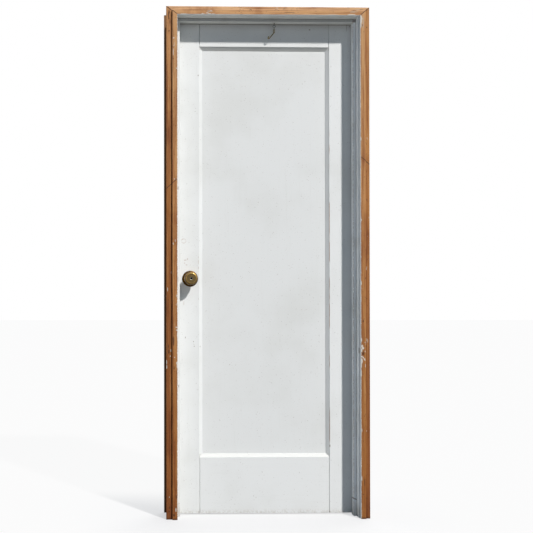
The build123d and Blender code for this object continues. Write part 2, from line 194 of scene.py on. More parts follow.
class Field:
    """A node's output that can be added, multiplied and compared in Python."""

    def __init__(self, finish, socket):
        self.finish = finish
        self.socket = socket

    def math(self, operation, *others):
        sockets = dict(enumerate([self, *others]))
        return self.finish.node("ShaderNodeMath", {"operation": operation}, sockets)

    def __add__(self, other):
        return self.math("ADD", other)

    def __sub__(self, other):
        return self.math("SUBTRACT", other)

    def __mul__(self, other):
        return self.math("MULTIPLY", other)

    def __rsub__(self, other):
        return self.math("MULTIPLY", -1.0).math("ADD", other)

    def __lt__(self, other):
        return self.math("LESS_THAN", other)

    def __gt__(self, other):
        return self.math("GREATER_THAN", other)

    def __or__(self, other):
        return self.math("MAXIMUM", other)

    __radd__ = __add__
    __rmul__ = __mul__

    def absolute(self):
        return self.math("ABSOLUTE")

    def smooth(self, low, high):
        """0 at low, 1 at high and a soft step between; low may be the larger."""
        settings = {"interpolation_type": "SMOOTHSTEP"}
        if low < high:
            return self.finish.node("ShaderNodeMapRange", settings, {0: self, 1: low, 2: high})
        return self.finish.node("ShaderNodeMapRange", settings, {0: self, 1: high, 2: low, 3: 1.0, 4: 0.0})


class Finish:
    """One material, made from a Principled shader and the fields that feed it."""

    def __init__(self, name):
        self.material = bpy.data.materials.new(name)
        self.material.use_nodes = True
        self.tree = self.material.node_tree
        self.shader = self.tree.nodes["Principled BSDF"]
        self.place = self.node("ShaderNodeTexCoord", output="Object")
        split = self.node("ShaderNodeSeparateXYZ", {}, {0: self.place}, output=None)
        self.x, self.y, self.z = (Field(self, split.outputs[i]) * (1 / MM) for i in range(3))

    def node(self, kind, settings=None, inputs=None, output=0):
        """Add a node: its settings first, then the values or links of its sockets."""
        made = self.tree.nodes.new(kind)
        for name, value in (settings or {}).items():
            if name == "stops":
                self.set_stops(made.color_ramp, value)
            else:
                setattr(made, name, value)
        for key, value in (inputs or {}).items():
            if isinstance(value, Field):
                self.tree.links.new(value.socket, made.inputs[key])
            else:
                made.inputs[key].default_value = value
        return made if output is None else Field(self, made.outputs[output])

    @staticmethod
    def set_stops(ramp, stops):
        while len(ramp.elements) < len(stops):
            ramp.elements.new(0.5)
        for element, (position, colour) in zip(ramp.elements, stops):
            element.position = position
            element.color = colour

    def noise(self, scale, detail=3.0, roughness=0.5, stretch=(1, 1, 1), offset=(0, 0, 0), distortion=0.0):
        """Cloudy pattern about 0.5; a small number in stretch draws it out along that axis."""
        vector = self.node("ShaderNodeMapping", {}, {0: self.place, 1: offset, 3: stretch})
        sockets = {
            "Vector": vector, "Scale": scale, "Detail": detail, "Roughness": roughness,
            "Distortion": distortion,
        }
        return self.node("ShaderNodeTexNoise", {}, sockets)

    def mix(self, share, first, second):
        """Blend two colours."""
        return self.node("ShaderNodeMix", {"data_type": "RGBA"}, {0: share, 6: first, 7: second}, output=2)

    def tint(self, share, colour, tone):
        """Multiply a colour by a tone."""
        inputs = {0: share, 6: colour, 7: tone}
        return self.node("ShaderNodeMix", {"data_type": "RGBA", "blend_type": "MULTIPLY"}, inputs, output=2)

    def ramp(self, share, stops):
        return self.node("ShaderNodeValToRGB", {"stops": stops}, {0: share})

    def set(self, **values):
        """Set the shader's own sockets; underscores stand for spaces."""
        for name, value in values.items():
            socket = self.shader.inputs[name.replace("_", " ")]
            if isinstance(value, Field):
                self.tree.links.new(value.socket, socket)
            else:
                socket.default_value = value

    def bump(self, height, distance, strength):
        """Raise the surface by height times distance, in millimetres."""
        sockets = {"Height": height, "Distance": distance * MM, "Strength": strength}
        self.set(Normal=self.node("ShaderNodeBump", {}, sockets, "Normal"))

    def near(self, field, middle, width, soft):
        """1 within width of a middle value, fading over soft."""
        return (field - middle).absolute().smooth(width + soft, width)

    def within(self, field, start, end, soft):
        """1 between two values, fading over soft."""
        return self.near(field, (start + end) / 2, (end - start) / 2, soft)

    def spot(self, centre, radii, ragged=None, reach=0.5):
        """1 inside an ellipsoid in millimetres, its edge broken by a ragged field about 0.5."""
        scale = [1 / (radius * MM) for radius in radii]
        shift = [-place * MM * factor for place, factor in zip(centre, scale)]
        sockets = {0: self.place, 1: scale, 2: shift}
        local = self.node("ShaderNodeVectorMath", {"operation": "MULTIPLY_ADD"}, sockets)
        distance = self.node("ShaderNodeVectorMath", {"operation": "LENGTH"}, {0: local}, "Value")
        if ragged is not None:
            distance = distance + (ragged - 0.5) * (2 * reach)
        return distance.smooth(1.15, 0.8)

    def spots(self, marks, ragged=None, reach=0.5):
        """All of a list of marks, each a centre and its radii."""
        found = None
        for centre, radii in marks:
            one = self.spot(centre, radii, ragged, reach)
            found = one if found is None else found | one
        return found


def on_face(face_y, marks, depth=6):
    """Marks of x, z, half width and half height that lie on a face at one y."""
    return [((x, face_y, z), (width, depth, height)) for x, z, width, height in marks]


# Paint

UPRIGHT = (1.0, 1.0, 0.03)
LEVEL = (0.03, 1.0, 1.0)

LEAF_DOTS = [
    (-48, 1966, 1.0, 14), (-626.6, 934.6, 1.6, 1.6), (-614.7, 934.6, 1.6, 1.6), (-577.4, 993, 1.8, 1.8),
    (-198.7, 1958.4, 3.2, 3.2), (-650.8, 1771, 2.2, 3.4), (-698.8, 1985, 3, 2), (-166.2, 278, 3, 5),
    (-118.3, 274.2, 2.4, 6), (-642.9, 676, 2, 5), (-670.4, 696, 2, 2.4), (-667.1, 676.6, 2.2, 2.2),
    (-703.4, 712, 2, 4), (-57.7, 1981, 3, 2.4), (-47.1, 1979.4, 2, 3), (-36.1, 1972.6, 2.4, 3),
]
RAIL_END_TICKS = [(-648.9, 9, 1.8, 6), (-62.3, 8, 1.8, 4), (-119, 8, 1.8, 5)]
SCUFF = (-709.7, 1101.1)
SCUFF_RADIUS = 8.5
KNOB_STREAK = (-709.4, 851, 1.3, 9)
KNOB_SCUFFS = [(-703.3, 1024, 5, 2.2), (-694.4, 1028, 2, 4.5), (-698.1, 1005, 4.5, 2), (-706, 1012, 2, 3)]
JOINT_TICKS = [
    (-650.4, 1016.5, 1.2, 8), (-650.6, 1036, 1.0, 4), (-650.2, 993, 1.2, 5), (-650.4, 868, 1.0, 4),
]
WORN_PATCHES = [(-729, 1040, 5, 26), (-730, 905, 4, 40), (-728, 1180, 4, 18)]


def brush_marks(finish, run):
    """Strokes left by a brush along the board, about 0.5."""
    broad = finish.noise(70, detail=2, stretch=run)
    fine = finish.noise(380, detail=3, roughness=0.6, stretch=run)
    return broad * 0.4 + fine * 0.6


def paint_coat(finish, run, white):
    """Base of every painted board: brushed white with faint clouds, grain and fly specks."""
    strokes = brush_marks(finish, run)
    cloud = finish.noise(2.6, detail=4, roughness=0.6)
    colour = finish.mix(cloud.smooth(0.42, 0.72) * 0.35, white, PAINT_SHADE)
    colour = finish.mix(strokes.smooth(0.54, 0.74) * 0.22, colour, PAINT_SHADE)
    specks = finish.noise(230, detail=1, offset=(0.3, 0.1, 0.7)).smooth(0.735, 0.765)
    return finish.mix(specks * 0.4, colour, DIRT_AND_PAINTED_SHADE), strokes


def leaf_paint(name, run, white):
    """Paint of the leaf, with joint lines at the rails, a scuff, worn edges and a few dots, and painted
    shade on the moulding's top and bottom slopes and under the head stop.
    """
    finish = Finish(name)
    colour, strokes = paint_coat(finish, run, white)
    ragged = finish.noise(160, detail=3, roughness=0.65)
    patchy = finish.noise(26, detail=2, stretch=(1, 1, 0.4), offset=(0.2, 0.5, 0.1))
    in_rails = (finish.z > top_rail_low) | (finish.z < bottom_rail_high)
    left_joint, right_joint = (finish.near(finish.x, place, 0.3, 1.2) for place in stile_joints)
    joints = left_joint | right_joint
    colour = finish.mix(joints * in_rails * patchy.smooth(0.35, 0.75) * 0.12, colour, JOINT_BROWN)
    crack = finish.near(finish.x, stile_joints[1] + 0.6, 0.5, 0.9) * finish.within(finish.z, 300, 1500, 60)
    colour = finish.mix(crack * patchy.smooth(0.46, 0.58) * 0.75, colour, BARE_SPOT)
    front = finish.y < (leaf_front + leaf_rear) / 2
    dots = finish.spots(on_face(leaf_front, LEAF_DOTS + RAIL_END_TICKS), ragged, 0.35)
    colour = finish.mix(dots * 0.5, colour, DIRT_AND_PAINTED_SHADE)
    worn = finish.spots(on_face(leaf_front, WORN_PATCHES), ragged, 0.9)
    colour = finish.mix(worn * 0.45, colour, PAINT_OLD)
    streak = finish.spots(on_face(leaf_front, [KNOB_STREAK] + KNOB_SCUFFS), ragged, 0.7)
    colour = finish.mix(streak * 0.35, colour, BARE_SPOT)
    ticks = finish.spots(on_face(leaf_front, JOINT_TICKS), ragged, 0.5)
    colour = finish.mix(ticks * 0.32, colour, BARE_SPOT)
    across, along = finish.x - SCUFF[0], finish.z - SCUFF[1]
    round_scuff = (across * across + along * along).math("SQRT")
    ring = finish.near(round_scuff, SCUFF_RADIUS, 0.8, 1.6) * front * ragged.smooth(0.36, 0.56)
    colour = finish.mix(ring * 0.4, colour, BARE_SPOT)
    # Painted shade on the top and bottom slopes of the panel's moulding
    ends = finish.within(finish.z, bottom_rail_high - MOULDING, bottom_rail_high, 0.2)
    ends = ends | finish.within(finish.z, top_rail_low, top_rail_low + MOULDING, 0.2)
    across_panel = finish.within(finish.x, stile_joints[0], stile_joints[1], 0.2)
    shaded_slopes = ends * across_panel * (finish.y > leaf_front + 0.6)
    colour = finish.tint(shaded_slopes, colour, MOULDING_PAINTED_SHADE)
    # Painted shade on the leaf below the head stop, and a painted dark line where the leaf meets the stop's
    # underside
    under_stop_shade = finish.z.smooth(stop_underside - 30, stop_underside + 4) * front
    colour = finish.mix(under_stop_shade * 0.3 * (0.6 + ragged * 0.5), colour, DIRT_AND_PAINTED_SHADE)
    stop_crease_shade = finish.near(finish.z, stop_underside + 1, 1.6, 1.6) * front
    colour = finish.mix(stop_crease_shade * 0.55, colour, DIRT_AND_PAINTED_SHADE)
    low_edge = finish.z.smooth(26, 4) * ragged.smooth(0.4, 0.62)
    colour = finish.mix(low_edge * 0.5, colour, PAINT_OLD)
    finish.set(Base_Color=colour, Roughness=0.36 + strokes * 0.2, IOR=1.45)
    finish.bump(strokes, 0.16, 0.6)
    return finish.material


JAMB_DARK = [
    ((-17, -50.5, 663), (2.6, 4, 13)), ((-27, -18.6, 1983), (6, 3, 6)), ((-34, -18.6, 1939), (3, 3, 4)),
    ((-734, -18.6, 1310), (2, 3, 8)), ((-733, -18.6, 520), (2, 3, 6)), ((-736, -18.6, 949), (2, 3, 7)),
    ((-731, -18.6, 53), (1.6, 3, 2.4)),
]


def jamb_paint(name, run):
    """Older paint of the jambs and stops, worn along the arrises, with painted light on the hinge jamb and
    painted shade on the latch jamb and on the head stop's front face.
    """
    finish = Finish(name)
    if run == LEVEL:
        white = HEAD_JAMB_WHITE
    else:
        # Painted light on the hinge jamb and painted shade on the latch jamb, given by two whites
        white = finish.mix(finish.x > opening_middle, LATCH_JAMB_PAINTED_SHADE, HINGE_JAMB_PAINTED_LIGHT)
    colour, strokes = paint_coat(finish, run, white)
    ragged = finish.noise(150, detail=3, roughness=0.65)
    blotch = finish.noise(11, detail=4, roughness=0.6, offset=(0.6, 0.2, 0.4))
    colour = finish.mix(blotch.smooth(0.5, 0.72) * 0.22, colour, PAINT_OLD)
    side_backs = (finish.x > -0.4) | (finish.x < latch_face - JAMB_THICKNESS + 0.4)
    backs = side_backs | (finish.z > opening_top + 1)
    seam = finish.near(finish.y, stop_front, 0.3, 1.0)
    from_middle = (finish.x - opening_middle).absolute()
    side_arris = finish.near(from_middle, (hinge_face - latch_face) / 2, 0.6, 0.8)
    colour = finish.mix(seam * side_arris * 0.8, colour, DIRT_AND_PAINTED_SHADE)
    head_seam = seam * finish.near(finish.z, opening_top, 0.6, 0.8)
    colour = finish.mix(head_seam * 0.8, colour, DIRT_AND_PAINTED_SHADE)
    wear = finish.near(finish.x, hinge_face - STOP_THICKNESS, 0.8, 1.0)
    wear = wear * finish.near(finish.y, stop_front, 1.2, 0.8)
    colour = finish.mix(wear * ragged.smooth(0.4, 0.55) * 0.6, colour, BARE_SPOT)
    dark = finish.spots(JAMB_DARK, ragged, 0.5)
    colour = finish.mix(dark * 0.5, colour, DIRT_AND_PAINTED_SHADE)
    # Painted shade on the head stop's front face, which lies in the shade of the head casing
    shaded_stop_face = finish.near(finish.y, stop_front, 0.8, 0.4)
    shaded_stop_face = shaded_stop_face * (finish.z > stop_underside + 1) * (finish.z < opening_top - 0.2)
    shaded_stop_face = shaded_stop_face * finish.within(finish.x, latch_face, hinge_face, 0.1)
    colour = finish.tint(shaded_stop_face, colour, STOP_PAINTED_SHADE)
    beside = finish.within(finish.x, hinge_face - (STOP_THICKNESS + 0.5), hinge_face + 0.5, 0.3)
    beside = beside * (finish.y > stop_front - 0.5)
    joint = finish.near(finish.z + finish.x * PATCH_SLOPE, patch_top + hinge_face * PATCH_SLOPE, 1.3, 1.2)
    colour = finish.mix(joint * beside * (0.6 + ragged * 0.5), colour, JOINT_BROWN)
    open_seam = finish.near(finish.x, hinge_face - STOP_THICKNESS, 0.8, 0.6) * (finish.z < patch_top + 4)
    open_seam = open_seam * finish.within(finish.y, stop_rear - 6, stop_rear + 1, 1.5)
    colour = finish.mix(open_seam * 0.8, colour, JOINT_BROWN)
    foot = finish.z.smooth(70, 10) * blotch.smooth(0.35, 0.6)
    colour = finish.mix(foot * 0.55, colour, PAINT_OLD)
    colour = finish.mix(backs, colour, finish.mix(strokes.smooth(0.4, 0.7), RAW_BOARD, WOOD_LIGHT))
    finish.set(Base_Color=colour, Roughness=0.42 + strokes * 0.2 + backs * 0.25, IOR=1.45)
    finish.bump(strokes + ragged * 0.4, 0.2, 0.6)
    return finish.material


# Bare wood of the casings

WOOD_MARK_DEPTH = 12
OUTER_BAND_BACK = 8
LATCH_INNER_FLECKS = [
    (-745.5, 756, 2.6, 3.4), (-743, 745, 2.6, 3), (-741, 726, 1.6, 9), (-751.8, 638.3, 2, 2.4),
    (-743, 615.8, 2.4, 5.5), (-742, 604, 1.6, 10), (-754.9, 1896, 2.8, 2.8), (-746.5, 39.6, 2, 8),
    (-752, 1340, 1.4, 3), (-757, 1085, 1.4, 5), (-743, 880, 1.6, 5), (-756.5, 1842, 1, 16),
    (-744, 1776, 1.6, 3), (-754, 1866, 1, 3),
]
LATCH_OUTER_FLECKS = [
    (-782.8, 619, 1.6, 9), (-782, 600, 1.4, 8), (-768.3, 642.8, 1.6, 2.6), (-772.5, 88, 1.2, 2.2),
    (-779, 905, 1.2, 8), (-766.4, 664, 1, 6),
]
LATCH_KNOTS = [
    (-761.5, 1988, 2.2, 9), (-770.5, 2003, 2, 10), (-745.3, 93.3, 2, 7), (-745.6, 50, 1.6, 6),
    (-754.3, 19, 4, 5), (-771, 47, 3, 7), (-772.5, 32, 3, 4), (-772.7, 1927.3, 2.8, 4.4),
    (-775, 1990, 3, 26), (-769, 1960, 2, 20), (-776.5, 680, 3, 14), (-774, 660, 4, 12),
    (-755.6, 702, 3, 20), (-744.5, 90.5, 2, 8), (-754, 597, 2.4, 7), (-757, 1815, 1.6, 3),
]
HINGE_FLECKS = [
    (-12.2, 1975, 4.5, 18), (-13.4, 1955, 3, 16), (-13.2, 706.4, 2.6, 8), (-10.5, 681, 4, 6),
    (-7, 673.5, 5, 4.5), (-12, 665, 2.8, 7), (1.3, 660.4, 1.5, 3), (-11.5, 640.5, 3.6, 3),
    (-6.5, 636, 3.6, 3), (-1.5, 630, 3.2, 3.4), (0, 627.4, 2.2, 4.4), (-12, 623, 3.4, 11),
    (-13.4, 606, 2, 11), (2.5, 604, 1.1, 8), (-13, 1500, 1.8, 6), (-12, 1180, 1.6, 5),
    (-13, 930, 1.8, 8), (-12, 350, 1.6, 7), (-13, 160, 1.8, 10), (-13.4, 575, 1.4, 14),
]
HINGE_CHIPS = [
    (10, 706, 3.8, 8), (13.6, 701, 2.2, 8), (3.5, 696.4, 6, 2), (-3.6, 1964, 2.6, 24), (5, 690, 1.4, 5),
]
HINGE_KNOTS = [
    (-6.8, 96.2, 1.8, 2.4), (8.1, 79.7, 2.2, 4), (-1, 144, 1.6, 16), (-6, 1951.6, 2.4, 4),
    (13, 1945.5, 2.4, 6), (7, 681.2, 3, 4), (-6.5, 652, 4, 7.5), (-6.1, 779.3, 3, 4.5),
    (12, 1260, 2.4, 7),
]
HEAD_FLECKS = [
    (-49, 1992.6, 15, 2.6), (-124, 1991.8, 22, 1.2), (-714, 1991.8, 14, 1.2), (-640, 1992.4, 7, 1.4),
    (-614, 1992.8, 6, 1.8), (-600, 1992.2, 9, 1.4), (-622, 1996, 6, 1.4),
]
HEAD_DOTS = [(-641.6, 1994.6, 1.5, 1.5), (-615.5, 2009, 1.6, 1.6), (-607, 2006, 3, 1.2)]
HEAD_CHIPS = [(-24, 2016, 14, 2.2), (-44, 2004, 14, 3), (-26, 2009, 9, 3), (-612, 2003, 12, 4)]
HEAD_KNOTS = [
    (-38, 2013, 13, 1.5), (-8, 2017, 10, 1.2), (-616, 2003.5, 5, 2.2), (-690, 2009, 12, 1.6),
    (-300, 2000, 20, 1),
]


def bare_wood(name, run, level):
    """Bare reddish softwood, browner in the outer band, with old paint along the inner edge, painted shade
    along the step between the bands and, on the head, a painted highlight just above it.
    """
    finish = Finish(name)
    growth = finish.noise(135, detail=2, roughness=0.5, stretch=run, distortion=0.5)
    fibres = finish.noise(420, detail=3, roughness=0.65, stretch=run, offset=(0.4, 0.8, 0.2))
    blotch = finish.noise(9, detail=4, roughness=0.6, stretch=(1, 1, 0.5))
    ragged = finish.noise(210, detail=3, roughness=0.7)
    along_grain = (0.3, 0.3, 1) if level else (1, 0.3, 0.3)
    pits = finish.noise(300, detail=1, stretch=along_grain, offset=(0.1, 0.7, 0.3))
    if level:
        colour = finish.mix(finish.z > opening_top + HEAD_BAND, *HEAD_TONES)
        # Painted shade along the step below the outer band, and a painted highlight a little above it
        step_shade = finish.near(finish.z, opening_top + HEAD_BAND + 0.4, 0.3, 1.2)
        step_highlight = finish.near(finish.z, opening_top + HEAD_BAND + 5, 2, 3) * growth.smooth(0.4, 0.6)
        colour = finish.mix(step_highlight * 0.35, colour, WOOD_LIGHT)
    else:
        height = finish.z * (1 / frame_top)
        colour = finish.ramp(height, INNER_TONES)
        latch_outer, hinge_outer = finish.x < latch_face - LEG_BAND, finish.x > hinge_casing_edge + LEG_BAND
        colour = finish.mix(latch_outer, colour, finish.ramp(height, LATCH_OUTER_TONES))
        colour = finish.mix(hinge_outer, colour, finish.ramp(height, HINGE_OUTER_TONES))
        # Painted shade on the outer band beside the step, where the proud inner band shades it
        step_shade = finish.near(finish.x, latch_face - LEG_BAND - 1.2, 1.0, 1.4)
    tone = growth * 0.6 + fibres * 0.4
    colour = finish.tint(tone.smooth(0.56, 0.34) * 0.75, colour, WOOD_DARK)
    colour = finish.mix(tone.smooth(0.54, 0.7) * 0.35, colour, WOOD_LIGHT)
    colour = finish.tint(blotch.smooth(0.5, 0.72) * 0.6, colour, WOOD_DARK)
    colour = finish.mix(pits.smooth(0.68, 0.73) * 0.6, colour, WOOD_LINE_AND_SHADE)
    colour = finish.mix(step_shade * 0.6, colour, WOOD_LINE_AND_SHADE)
    knots = HEAD_KNOTS if level else LATCH_KNOTS + HINGE_KNOTS
    knots = finish.spots(on_face(casing_front, knots, WOOD_MARK_DEPTH), ragged, 0.5)
    colour = finish.mix(knots * 0.8, colour, WOOD_LINE_AND_SHADE)
    slope = (frame_top - opening_top) / (latch_face - casing_left)
    latch_mitre = (finish.z - opening_top) - (latch_face - finish.x) * slope
    slope = (frame_top - opening_top) / (casing_right - hinge_casing_edge)
    hinge_mitre = (finish.z - opening_top) - (finish.x - hinge_casing_edge) * slope
    mitre = finish.near(latch_mitre, 0, 1.1, 1.2) | finish.near(hinge_mitre, 0, 1.1, 1.2)
    colour = finish.mix(mitre, colour, WOOD_LINE_AND_SHADE)
    colour = finish.mix(finish.z.smooth(12, 1) * 0.8, colour, WOOD_LINE_AND_SHADE)

    # Paint on the return of the casing, which laps over its arris here and there
    if level:
        into_wood = finish.z - opening_top
        flecks, chips = HEAD_FLECKS, HEAD_CHIPS
        lap = (into_wood - (ragged - 0.6) * 7).smooth(0.5, -0.3)
    else:
        middle = (latch_face + hinge_casing_edge) / 2
        into_wood = (finish.x - middle).absolute() - (hinge_casing_edge - latch_face) / 2
        flecks, chips = LATCH_INNER_FLECKS + HINGE_FLECKS, HINGE_CHIPS
        lap = (into_wood - (ragged - 0.5) * 8).smooth(0.9, 0.1)
    front = finish.y < 0
    side = (into_wood < 0.3) * front
    worn_arris = finish.near(into_wood, 1.6, 0.5, 0.9) * fibres.smooth(0.4, 0.55) * front
    colour = finish.mix(worn_arris * 0.35, colour, CHIP_BEIGE)
    wall_side = (finish.y.absolute() < casing_back + 0.3) * (into_wood > 0.5)
    colour = finish.mix(wall_side * 0.75, colour, WALL_SIDE)
    marks = finish.spots(on_face(casing_front, flecks, WOOD_MARK_DEPTH), ragged, 0.6)
    if not level:
        outer = on_face(casing_front + OUTER_BAND_BACK, LATCH_OUTER_FLECKS, WOOD_MARK_DEPTH)
        marks = marks | finish.spots(outer, ragged, 0.6)
    crumbs = finish.noise(120, detail=2, stretch=(1, 1, 0.3), offset=(0.9, 0.3, 0.6)).smooth(0.735, 0.765)
    chipped = finish.spots(on_face(casing_front, chips, WOOD_MARK_DEPTH), ragged, 0.7)
    colour = finish.mix(chipped * 0.7, colour, CHIP_BEIGE)
    colour = finish.mix(crumbs * 0.4, colour, FLECK_WHITE)
    colour = finish.mix(marks * 0.85, colour, FLECK_WHITE)
    if level:
        dots = finish.spots(on_face(casing_front, HEAD_DOTS, WOOD_MARK_DEPTH))
        colour = finish.mix(dots * 0.9, colour, FLECK_WHITE)
    colour = finish.mix(lap * 0.8 * front | side, colour, STILE_WHITE)
    finish.set(Base_Color=colour, Roughness=0.6 + fibres * 0.25, IOR=1.4)
    finish.bump(tone + knots * 0.3 + marks * 0.4, 0.5, 0.7)
    return finish.material


# Metal

# From the knob's middle to the rose's edge: tarnished brass with painted reflections, darker on the face,
# lighter on the rim and dark at the rose's edge
KNOB_TONES_AND_REFLECTIONS = (
    (0.2, BRASS_FACE), (0.5, BRASS_FACE), (0.6, BRASS_BRIGHT), (0.7, BRASS_BRIGHT), (0.79, BRASS_DARK),
)
# Radius of the keyhole, and then places by how far they stand off the leaf
KEYHOLE_RADIUS, KEYHOLE_FROM = 4.4, 50
NECK_SPAN = (8, 42)
FACE_SPAN = (58, 62)
EYE_PAINTED = (stop_underside - 24, stop_underside - 7)


def knob_brass(name):
    """Tarnished brass, lighter on the rim and dark on the face and the rose's edge, partly painted
    reflection; a painted reflection on the neck and painted shade in the keyhole.
    """
    finish = Finish(name)
    across, along = finish.x - knob_x, finish.z - knob_z
    reach = (across * across + along * along).math("SQRT")
    patches = finish.noise(60, detail=4, roughness=0.6)
    scratches = finish.noise(700, detail=2, stretch=(1, 1, 0.25))
    span = reach * (1 / ROSE_REACH) + (patches - 0.5) * 0.1
    colour = finish.ramp(span, KNOB_TONES_AND_REFLECTIONS)
    off_leaf = (finish.y - (leaf_front + leaf_rear) / 2).absolute() - (leaf_rear - leaf_front) / 2
    # Painted golden reflection on the neck between the rose and the knob
    neck = finish.within(off_leaf, *NECK_SPAN, 1)
    colour = finish.mix(neck * 0.9, colour, BRASS_NECK_REFLECTION)
    colour = finish.mix(patches.smooth(0.5, 0.7) * 0.4, colour, BRASS_DARK)
    # Painted shade inside the keyhole
    colour = finish.mix((reach < KEYHOLE_RADIUS) * (off_leaf > KEYHOLE_FROM), colour, HOLE_PAINTED_SHADE)
    finish.set(Base_Color=colour, Metallic=1.0, Roughness=0.26 + scratches * 0.2,
               Coat_Weight=off_leaf.smooth(*FACE_SPAN) * 0.6, Coat_Roughness=0.16)
    finish.bump(scratches, 0.02, 0.3)
    return finish.material


def dull_metal(name, bright, dark, roughness, scale=90, painted=None):
    """Plated metal with darker patches and fine scratches; old paint between two heights if asked."""
    finish = Finish(name)
    wear = finish.noise(scale, detail=4, roughness=0.6)
    scratches = finish.noise(800, detail=2, stretch=(1, 1, 0.2))
    colour = finish.mix(wear.smooth(0.42, 0.72) * 0.8, bright, dark)
    metal = 1.0
    if painted:
        coat = finish.within(finish.z, *painted, 2)
        colour = finish.mix(coat * 0.85, colour, EYE_GREY)
        metal = 1 - coat * 0.85
    finish.set(Base_Color=colour, Metallic=metal, Roughness=roughness + scratches * 0.2)
    finish.bump(scratches, 0.02, 0.3)
    return finish.material


brass_of_knob = knob_brass("knob_brass")
brass_of_hook = dull_metal("hook_brass", HOOK_BRASS, HOOK_DARK, roughness=0.38, painted=EYE_PAINTED)
brass_of_plates = dull_metal("plate_brass", srgb(190, 160, 104), srgb(138, 110, 66), roughness=0.3)
steel_of_hinges = dull_metal("hinge_steel", srgb(190, 172, 128), srgb(124, 104, 72), roughness=0.32)
plated_steel = dull_metal("plated_steel", srgb(180, 180, 178), srgb(120, 118, 112), roughness=0.32)
silver_metal = dull_metal("keyhole_silver", srgb(150, 148, 138), srgb(96, 92, 80), roughness=0.3)
screw_steel = dull_metal("screw_steel", srgb(176, 164, 132), srgb(96, 84, 62), roughness=0.35, scale=400)

finishes = {
    ("leaf_paint", "upright"): leaf_paint("leaf_paint_upright", UPRIGHT, STILE_WHITE),
    ("leaf_paint", "level"): leaf_paint("leaf_paint_level", LEVEL, STILE_WHITE),
    ("leaf_paint", "panel"): leaf_paint("leaf_paint_panel", UPRIGHT, PANEL_WHITE),
    ("jamb_paint", "upright"): jamb_paint("jamb_paint_upright", UPRIGHT),
    ("jamb_paint", "level"): jamb_paint("jamb_paint_level", LEVEL),
    ("bare_wood", "upright"): bare_wood("bare_wood_upright", UPRIGHT, level=False),
    ("bare_wood", "level"): bare_wood("bare_wood_level", LEVEL, level=True),
    ("knob_brass", "upright"): brass_of_knob,
    ("hook_brass", "upright"): brass_of_hook,
    ("brass_plate", "upright"): brass_of_plates,
    ("hinge_steel", "upright"): steel_of_hinges,
    ("plated_steel", "upright"): plated_steel,
}


def board_run(node):
    """Which way a board's grain and brush marks run."""
    if node == "panel":
        return "panel"
    return "level" if node.startswith("head_") or node.endswith("_rail") else "upright"


for entry in frame["record"]["subparts"]:
    node = nodes[entry["node"]]
    for slot in node.material_slots:
        slot.material = finishes[entry["material_slot"], board_run(entry["node"])]


# Modelling helpers

SMOOTH_ANGLE = 40


def start_piece(name):
    """Name the primitive that was just added and go into edit mode with all of it selected."""
    piece = bpy.context.object
    piece.name = name
    bpy.ops.object.mode_set(mode="EDIT")
    bpy.ops.mesh.select_all(action="SELECT")
    return piece


def end_piece(piece, material):
    """Close the edit: merge doubles, face outwards, bake the place in, shade and give a material."""
    bpy.ops.mesh.select_all(action="SELECT")
    bpy.ops.mesh.remove_doubles(threshold=1e-6)
    bpy.ops.mesh.normals_make_consistent(inside=False)
    bpy.ops.object.mode_set(mode="OBJECT")
    bpy.ops.object.transform_apply(location=True, rotation=True, scale=True)
    bpy.ops.object.shade_smooth_by_angle(angle=math.radians(SMOOTH_ANGLE))
    piece.data.materials.append(material)
    return piece


def deselect():
    bpy.ops.object.select_all(action="DESELECT")


def join(pieces, name):
    """Join several pieces into one mesh."""
    deselect()
    for piece in pieces:
        piece.select_set(True)
    bpy.context.view_layer.objects.active = pieces[0]
    if len(pieces) > 1:
        bpy.ops.object.join()
    pieces[0].name = name
    return pieces[0]


def quarter_round(centre, radius, start, end, steps):
    """Points of radius and height on an arc, from one angle to another."""
    angles = [math.radians(start + (end - start) * step / steps) for step in range(steps + 1)]
    return [(centre[0] + radius * math.cos(a), centre[1] + radius * math.sin(a)) for a in angles]


TURNS = 96


def turned(name, face_y, outward, profile, closed, material):
    """Shape turned about the knob's axis, from radius and height pairs in millimetres.

    A closed shape starts and ends in a flat face; an open one is a ring whose last point meets its first.
    """
    deselect()
    radius, height = profile[0]
    centre = Vector((knob_x, face_y + outward * height, knob_z)) * MM
    bpy.ops.mesh.primitive_circle_add(
        vertices=TURNS, radius=radius * MM, fill_type="NGON" if closed else "NOTHING", location=centre,
        rotation=(math.radians(90), 0, 0),
    )
    piece = start_piece(name)
    for (radius, height), (next_radius, next_height) in zip(profile, profile[1:]):
        step = (0, outward * (next_height - height) * MM, 0)
        centre = Vector((knob_x, face_y + outward * next_height, knob_z)) * MM
        share = next_radius / radius
        bpy.ops.mesh.extrude_region_move(TRANSFORM_OT_translate={"value": step})
        bpy.ops.transform.resize(value=(share, 1, share), center_override=centre)
    return end_piece(piece, material)


# Knobs and roses, turned smooth


def knob_profile(keyed):
    """Radius and height out from the leaf's face, from the shank to the middle of the knob's face."""
    neck = quarter_round((19.5, 20), 10, 180, 110, 8)
    shoulder = quarter_round((20, 40), 6, -70, 0, 6)
    rim = quarter_round((19, 59), 7, 0, 90, 10)
    dish = [(17.6, 65.9), (17, 65.2), (16.4, 64.5)]
    points = [(9.5, 1), (9.5, 20)] + neck[1:] + shoulder + rim + dish
    if keyed:
        points += [(6.4, 64.5), (6.4, 63.5), (4.2, 63.5), (4.2, 56)]
    return points + [(1.5, points[-1][1])]


ROSE_PROFILE = (
    [(10, 0), (32, 0), (32, 1.6)] + quarter_round((30.6, 1.6), 1.4, 10, 60, 3) + [(27.2, 4.6), (26.2, 5.3)]
    + quarter_round((18, -26), 32.6, 75, 88, 6) + [(12, 8), (10, 8), (10, 0)]
)

